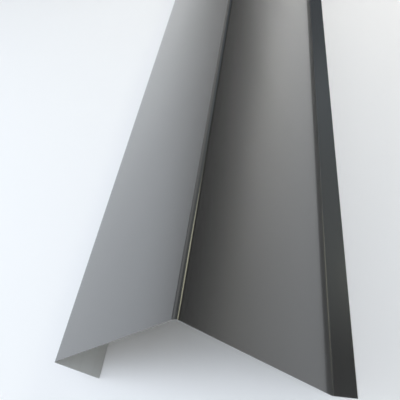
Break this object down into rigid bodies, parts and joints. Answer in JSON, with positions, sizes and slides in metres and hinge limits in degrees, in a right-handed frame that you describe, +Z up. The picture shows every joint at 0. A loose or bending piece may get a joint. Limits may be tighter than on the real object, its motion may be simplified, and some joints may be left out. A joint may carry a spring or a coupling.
{
  "type": "wall flashing",
  "caption": "Long folded steel flashing: two unequal legs at a right angle, with a return lip on one edge and a kicked-out drip on the other.",
  "frame": {"origin": "on the floor, under the middle of the bounding box, with the flashing lying ridge up on the free edges of its lip and its drip", "axes": "+Y along the length; +Z up, through the ridge side; +X across the section, from the lip towards the drip"},
  "size_m": [0.2, 2, 0.1067],
  "materials": {
    "coated_steel": "satin anthracite grey colour coat on galvanised steel sheet, with a pale back coat on the underside"
  },
  "bodies": {
    "root": {"flashing": "coated_steel"}
  },
  "joints": []
}
